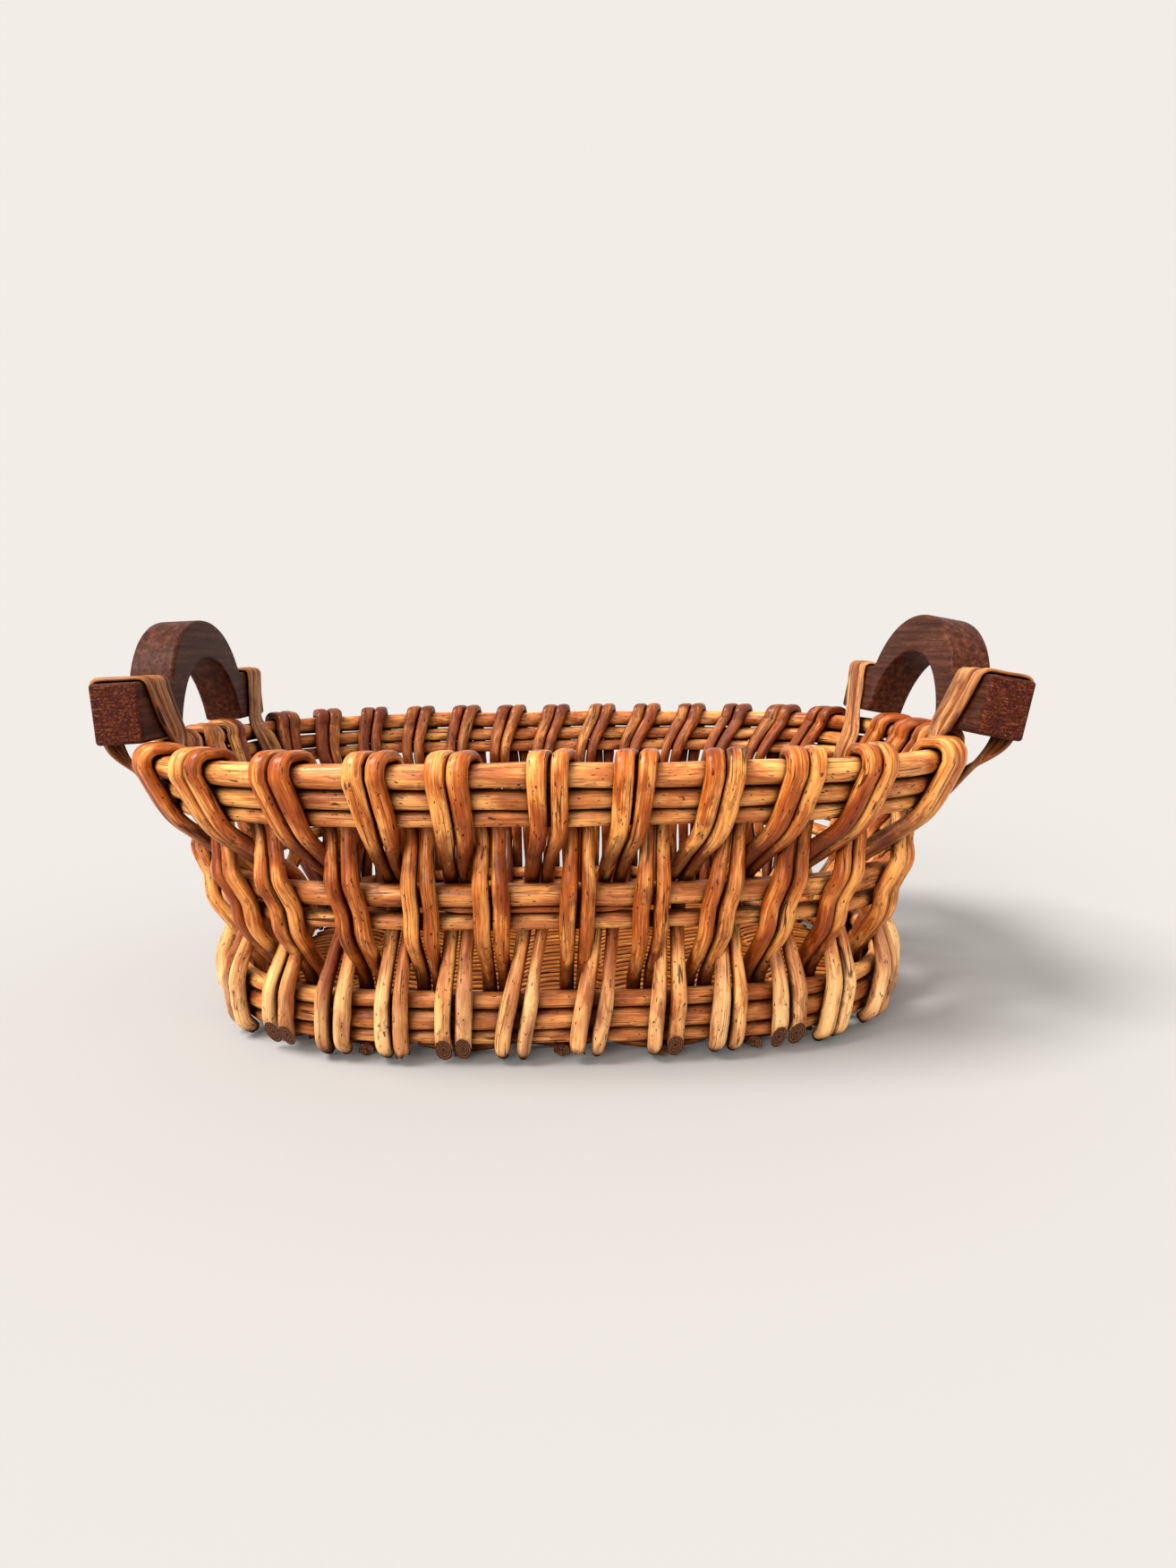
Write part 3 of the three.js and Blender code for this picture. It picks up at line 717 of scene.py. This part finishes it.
def stake_piece(index, row):
    """A pair of rods side by side, from outside the foot, over the rim and down inside the foot."""
    rng = np.random.default_rng(200 + index)
    ends = FRONT_ENDS[index] if index < len(FRONT_ENDS) else (
        ("bent", "oblique", "bent")[rng.integers(3)], ("bent", "bent", "oblique")[rng.integers(3)])
    rods = Rods()
    share = rng.uniform(0.46, 0.54)
    size = rng.uniform(0.87, 0.99)
    parting = rng.uniform(0.2, 1.5, 2)
    at_back = index in BACK_STAKES
    # Painted shade: the back wall's stakes take darker tints.
    tints = BACK_WALL_SHADED_TINTS if at_back else TINTS
    for number, style in enumerate(ends):
        end_height, end_out = END_PLACES[style]
        rows = stake_line(row, UPPER[index], LOWER[index], end_height + rng.uniform(0, 1.4), end_out)
        sign = -1 if number == 0 else 1
        part = share if number == 0 else 1 - share
        points, _, _ = wall_at(station_angle(rows[:, 0]), rows[:, 1], rows[:, 2])
        steps = np.where(np.minimum(rows[1:, 1], rows[:-1, 1]) > LOOP_FROM, LOOP_STEP, LEG_STEP)
        dense = smooth(travelled(points), rows, steps)
        height, width, depth = dense[:, 1], dense[:, 3], dense[:, 4]
        points, _, _ = wall_at(station_angle(dense[:, 0]), height, dense[:, 2])
        along = travelled(points)
        reach = np.interp(along - along[np.argmax(height)], [0, SETTLING], [KINK_REACH, STRAIGHT_REACH])
        stations = straighten(along, dense[:, 0], reach)
        points, side, out = wall_at(station_angle(stations), height, dense[:, 2])
        tangent = unit(np.gradient(points, axis=0))
        across = unit(np.cross(np.cross(tangent, side), tangent))
        if style == "oblique" and index < len(FRONT_ENDS):
            out = unit(out + CUT_FORWARD)
        along = travelled(points)
        apart = np.interp(along / along[-1], [0, 0.12, 0.3, 0.45, 0.6, 0.85, 1],
                          [parting[0], parting[0], 0, 0.15, 0.1, parting[1], parting[1] * 0.5])
        points = points + across * (sign * (width * (1 - part) + apart) / 2)[:, None]
        half = np.argmax(height)
        first = np.arange(len(along)) < half
        taper = 1 - 0.25 * np.exp(-along / 4) * (style == "bent")
        pale = np.where(first, zone(height, *PALE_FOOT), 0) * rng.uniform(0.35, 0.85)
        pale = pale * (BACK_PALENESS if at_back else 1)
        lower_leg = np.where(first, 0, zone(height, *DARK_INSIDE_FOOT) * 0.6)
        loop = np.where(first, zone(height, *DARK_UNDER_RIM) * 0.9, 0.2)
        loop = loop + rng.uniform(0, 0.4) * zone(height, *SOILED_CREST)
        tip = 0.7 * np.exp(-along / 3.5) * (style == "bent")
        # Painted shade: the back wall's stakes get more dark patches.
        if at_back:
            loop = loop + BACK_WALL_SHADE
        add_rod(rods, rng, points, side, width * part * size * taper, depth * taper * rng.uniform(0.95, 1.03),
                facets=14, ends=(style, "plain"), out=out, tint=rng.uniform(*tints), pale=pale,
                dark=lower_leg + loop + tip, squared=2.1 + 0.7 * np.clip((height - 100) / 16, 0, 1))
    name = f"stake_{index + 1:02d}"
    build(f"{name}_pair", rods, [VARNISHED, CUT], name)


for index, row in enumerate(STAKES):
    stake_piece(index, row)

# ---------------------------------------------------------------- base

STICK_SPACING = 42
STICK_COUNT = 7
STICK_WIDTH = 8.0
STICK_CENTRE = 5.3
STICK_DEPTH = 5.0
STICK_END_DROP = 1.6
STICK_STEPS = 60
WEAVER_PITCH = 3.0
WEAVER_SWING = 3.75
WEAVER_DEPTH = 2.5
WEAVER_STEP = 3.2
# How far the floor stops short of the foot rod's ring: its rows, its long edges and its ends.
ROWS_INSET = 5.5
EDGE_INSET = 4.0
END_INSET = 5.2
FOOT_A, FOOT_B = wall_size(RINGS["foot_rod_3"][0])


def base_edge(x):
    """Half the width of the ring of the lowest foot rod at x."""
    return FOOT_B * (1 - (abs(x) / FOOT_A) ** SQUARENESS) ** (1 / SQUARENESS)


def base_sticks():
    """The thick sticks across the basket, whose torn ends drop under the foot rods."""
    for i in range(STICK_COUNT):
        rng = np.random.default_rng(300 + i)
        x = (i - (STICK_COUNT - 1) / 2) * STICK_SPACING
        low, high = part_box(f"base_stick_{i + 1}")
        y = np.linspace(low.y, high.y, STICK_STEPS) / MM
        bend = ripple(rng, y, 0.4, 50, 120)
        centre = np.stack([x + bend, y, np.full_like(y, STICK_CENTRE - STICK_END_DROP)], 1)
        inside = np.clip((base_edge(x) - np.abs(y)) / STICK_WIDTH, 0, 1)
        centre[:, 2] += STICK_END_DROP * inside
        rods = Rods()
        add_rod(rods, rng, centre, np.tile([1.0, 0, 0], (STICK_STEPS, 1)), STICK_WIDTH - 1.0, STICK_DEPTH,
                ends=("torn", "torn"), tint=0.4, dark=0.5 * (1 - inside))
        node = f"base_stick_{i + 1}"
        build(f"{node}_willow", rods, [STICK, CUT], node)


def base_weavers():
    """The fine weavers of the floor, which run lengthwise over and under the sticks in turn."""
    rng = np.random.default_rng(350)
    rods = Rods()
    rows = int(2 * (FOOT_B - ROWS_INSET) / WEAVER_PITCH)
    for r in range(rows + 1):
        y = (r - rows / 2) * WEAVER_PITCH
        share = (1 - (abs(y) / (FOOT_B - EDGE_INSET)) ** SQUARENESS) ** (1 / SQUARENESS)
        reach = (FOOT_A - END_INSET) * share
        x = np.linspace(-reach, reach, max(12, int(2 * reach / WEAVER_STEP)))
        phase = np.cos(np.pi * (x / STICK_SPACING + r))
        z = STICK_CENTRE + WEAVER_SWING * np.sign(phase) * np.abs(phase) ** 0.7
        line = np.stack([x, y + 0.35 * np.sin(x / 17 + r * 1.7), z], 1)
        add_rod(rods, rng, line, np.tile([0, 1.0, 0], (len(x), 1)), WEAVER_PITCH * rng.uniform(0.88, 1.02),
                WEAVER_DEPTH, facets=7, tint=rng.uniform(0.1, 0.9), rough=0.5)
    build("base_weave_willow", rods, [WEAVER, CUT], "base_weave")


base_sticks()
base_weavers()

# ---------------------------------------------------------------- handles and lashings

# Side, distance from the middle, shift along the side, height of the foot, lean and skew in degrees.
HANDLES = {"left": (-1, 189.3, 3, 134.4, 2.5, 3), "right": (1, 187.2, 0, 134.4, 10.5, 1)}
HANDLE_DEPTH = 20
FOOT_HEIGHT = 26
HALF_LENGTH = 90.5
LASH_RIM_INSET = 59
# How far from the handle's middle a lashing lies: outside low, outside top, inside top, inside low.
LASH_INSETS = {"front": (70, 73, 72, 56), "back": (68, 73, 73, 66)}
STRANDS = 6


def handle_matrix(side, offset, shift, base, lean, skew):
    turn = Matrix.Rotation(math.radians(side * lean), 3, "Y") @ Matrix.Rotation(math.radians(skew), 3, "Z")
    return np.array(turn), np.array([side * offset, shift, base])


def bezier(p0, p1, p2, p3, count):
    t = np.linspace(0, 1, count + 1)[1:, None]
    p0, p1, p2, p3 = (np.array(p, float) for p in (p0, p1, p2, p3))
    return (1 - t) ** 3 * p0 + 3 * (1 - t) ** 2 * t * p1 + 3 * (1 - t) * t**2 * p2 + t**3 * p3


def handle_outline():
    """The handle's face, anticlockwise: along the basket's end and up from the rim."""
    half, foot, root, gap, gap_top, top = HALF_LENGTH, FOOT_HEIGHT, 50, 45, 34.5, 54
    parts = [
        np.array([(half, 0), (half, foot), (root + 1.5, foot)]),
        bezier((root, foot + 0.3), (43, 41), (27, top), (0, top), 20),
        bezier((0, top), (-27, top), (-43, 41), (-root, foot + 0.3), 20),
        np.array([(-root - 1.5, foot), (-half, foot), (-half, 0), (-gap, 0)]),
        bezier((-gap, 0), (-40, 19), (-23, gap_top), (0, gap_top), 18),
        bezier((0, gap_top), (23, gap_top), (40, 19), (gap, 0), 18),
    ]
    return np.concatenate(parts)


def handle_piece(name, place):
    """A handle sawn from a board: its outline across the board's depth, with rounded edges."""
    turn, origin = handle_matrix(*place)
    outline = handle_outline()
    count = len(outline)
    local = np.concatenate([
        np.column_stack([np.full(count, x), outline]) for x in (-HANDLE_DEPTH / 2, HANDLE_DEPTH / 2)
    ])
    mesh = bpy.data.meshes.new(name)
    loop = list(range(count))
    faces = [loop, [count + v for v in reversed(loop)]]
    faces += [(v, v + count, (v + 1) % count + count, (v + 1) % count) for v in loop]
    world = (local @ turn.T + origin) * MM
    mesh.from_pydata(world.tolist(), [], faces)
    grain = local[:, [0, 2, 1]] * MM + place[0] * 3.0
    mesh.attributes.new("grain", "FLOAT_VECTOR", "POINT").data.foreach_set(
        "vector", grain.astype(np.float32).ravel())
    mesh.materials.append(WOOD)
    mesh.materials.append(WOOD_ENDS)
    for polygon in mesh.polygons:
        corners = [local[v] for v in polygon.vertices]
        at_end = len(corners) == 4 and all(abs(abs(corner[1]) - HALF_LENGTH) < 0.1 for corner in corners)
        polygon.material_index = int(at_end)
    mesh.update()
    piece = bpy.data.objects.new(f"handle_{name}_wood", mesh)
    bpy.context.scene.collection.objects.link(piece)
    edge = piece.modifiers.new("rounded_edges", "BEVEL")
    edge.width = 0.0021
    edge.segments = 3
    edge.limit_method = "ANGLE"
    edge.angle_limit = math.radians(40)
    for polygon in mesh.polygons:
        polygon.use_smooth = True
    mesh.set_sharp_from_angle(angle=math.radians(35))
    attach(piece, "root")
    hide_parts(f"handle_{name}")


def lashing_piece(name, place, word, end, seed):
    """Split strands over the handle's foot, from under the rim rods outside to under them inside."""
    side = place[0]
    turn, origin = handle_matrix(*place)
    rng = np.random.default_rng(seed)
    _, b = wall_size(RINGS["rim_rod_2"][0])
    angle = (0 if side > 0 else np.pi) + side * end * np.arcsin((LASH_RIM_INSET / b) ** (SQUARENESS / 2))
    half, top = HANDLE_DEPTH / 2 + 1.0, FOOT_HEIGHT + 1.0
    low_out, top_out, top_in, low_in = LASH_INSETS[word]
    rods = Rods()
    for spread in np.linspace(-2.5, 2.5, STRANDS):
        lift = rng.uniform(0, 0.8)
        # Across the foot, up it, the distance from the handle's middle, and how far the strands fan there.
        over = np.array([
            (half, 0.0, low_out, 2.9),
            (half, 12, (low_out + top_out) / 2, 3.2),
            (half, top - 2.0, top_out, 3.6),
            (half - 2.0, top, top_out, 3.7),
            (0, top, (top_out + top_in) / 2, 4.0),
            (2.0 - half, top, top_in, 4.2),
            (-half, top - 2.0, top_in, 4.1),
            (-half, 11, (top_in + low_in) / 2, 3.9),
            (-half, 0.0, low_in, 3.4),
        ])
        far = over[:, 2] + spread * over[:, 3] + rng.uniform(-0.5, 0.5, len(over))
        snug = np.stack([side * (over[:, 0] + np.sign(over[:, 0]) * lift), end * far, over[:, 1] + lift], 1)
        foot = snug @ turn.T + origin
        outer, _, _ = wall_at(angle, [103.4, 103.6, 106, 111], [-1.0, 3.0, 6.4, 8.6])
        inner, along, _ = wall_at(angle, [122, 107, 103.8, 103.2], [-8.4, -6.8, -3.6, 0.0])
        # Strands further from the handle's middle stay on that side beside the rim.
        slide = along[0] * (side * spread * 2.8)
        controls = np.concatenate([outer + slide, foot, inner + slide])
        line = smooth(travelled(controls), controls, 1.6)
        tangent = unit(np.gradient(line, axis=0))
        places = np.linspace(0, 1, len(line))
        facing = np.array([turn @ np.array([0.0, side, 0.0])])
        sides = unit(np.cross(np.cross(tangent, np.repeat(facing, len(line), 0)), tangent))
        width = np.interp(places, [0, 0.2, 0.35, 0.65, 0.8, 1], [3.2, 3.8, 4.5, 4.6, 4.0, 3.2])
        add_rod(rods, rng, line, sides, width * rng.uniform(0.9, 1.12), rng.uniform(1.9, 2.4), facets=10,
                tint=rng.uniform(-0.3, 1.2), pale=rng.uniform(0, 0.4), dark=0.3, rough=1.5, squared=2.3)
    node = f"lashing_{name}_{word}"
    build(f"{node}_strands", rods, [SPLIT, CUT], node)


for number, (name, place) in enumerate(HANDLES.items()):
    handle_piece(name, place)
    lashing_piece(name, place, "front", -1, 400 + 2 * number)
    lashing_piece(name, place, "back", 1, 401 + 2 * number)

# ---------------------------------------------------------------- floor, light and camera

PAPER = srgb(242, 237, 231)
# Each lamp's direction, energy, angle in degrees and colour.
LAMPS = {
    "key": (Vector((0.55, 0.22, -0.95)), 4.5, 27, (1.0, 0.98, 0.95)),
    "fill": (Vector((0.4, 0.85, -0.4)), 2.1, 40, (1.0, 0.97, 0.93)),
}


def floor():
    """A wide plain floor that melts into the backdrop."""
    mesh = bpy.data.meshes.new("floor")
    reach = 12.0
    corners = [(-reach, -reach, 0), (reach, -reach, 0), (reach, reach, 0), (-reach, reach, 0)]
    mesh.from_pydata(corners, [], [(0, 1, 2, 3)])
    n = Nodes("floor_paper")
    # The floor reflects the backdrop's own radiance when lit by the backdrop and the lamps together.
    lit = list(PAPER[:3])
    for direction, energy, _, colour in LAMPS.values():
        steepness = -direction.normalized().z
        lit = [light + energy * tone * steepness / math.pi for light, tone in zip(lit, colour)]
    n.put(n.shader.inputs["Base Color"], (*(paper / light for paper, light in zip(PAPER, lit)), 1))
    n.shader.inputs["Roughness"].default_value = 0.9
    n.shader.inputs["Specular IOR Level"].default_value = 0.0
    mesh.materials.append(n.material)
    piece = bpy.data.objects.new("floor", mesh)
    bpy.context.scene.collection.objects.link(piece)


def lights():
    """An even backdrop and two broad lamps."""
    world = bpy.data.worlds.new("studio")
    world.use_nodes = True
    backdrop = world.node_tree.nodes["Background"]
    backdrop.inputs["Color"].default_value = PAPER
    backdrop.inputs["Strength"].default_value = 1.0
    bpy.context.scene.world = world
    for name, (direction, energy, angle, colour) in LAMPS.items():
        data = bpy.data.lights.new(name, "SUN")
        data.energy = energy
        data.angle = math.radians(angle)
        data.color = colour
        lamp = bpy.data.objects.new(name, data)
        lamp.rotation_mode = "QUATERNION"
        lamp.rotation_quaternion = direction.to_track_quat("-Z", "Y")
        bpy.context.scene.collection.objects.link(lamp)


EYE = Vector((0.0039, -0.4667, 0.1748))
YAW, PITCH, ROLL = 0.0227, 0.154, -0.0075
SENSOR_WIDTH = 36
LENS = 20.548


def camera():
    """A camera a little above the rim, in front of the basket, looking slightly down."""
    ahead = Vector((math.sin(YAW) * math.cos(PITCH), math.cos(YAW) * math.cos(PITCH), -math.sin(PITCH)))
    right = ahead.cross(Vector((0, 0, 1))).normalized()
    up = right.cross(ahead)
    right = (math.cos(ROLL) * right + math.sin(ROLL) * up).normalized()
    up = right.cross(ahead)
    data = bpy.data.cameras.new("camera")
    data.sensor_width = SENSOR_WIDTH
    data.lens = LENS
    eye = bpy.data.objects.new("camera", data)
    matrix = Matrix((right, up, -ahead)).transposed().to_4x4()
    matrix.translation = EYE
    eye.matrix_world = matrix
    bpy.context.scene.collection.objects.link(eye)
    bpy.context.scene.camera = eye


floor()
lights()
camera()
bpy.context.scene.view_settings.view_transform = "Standard"
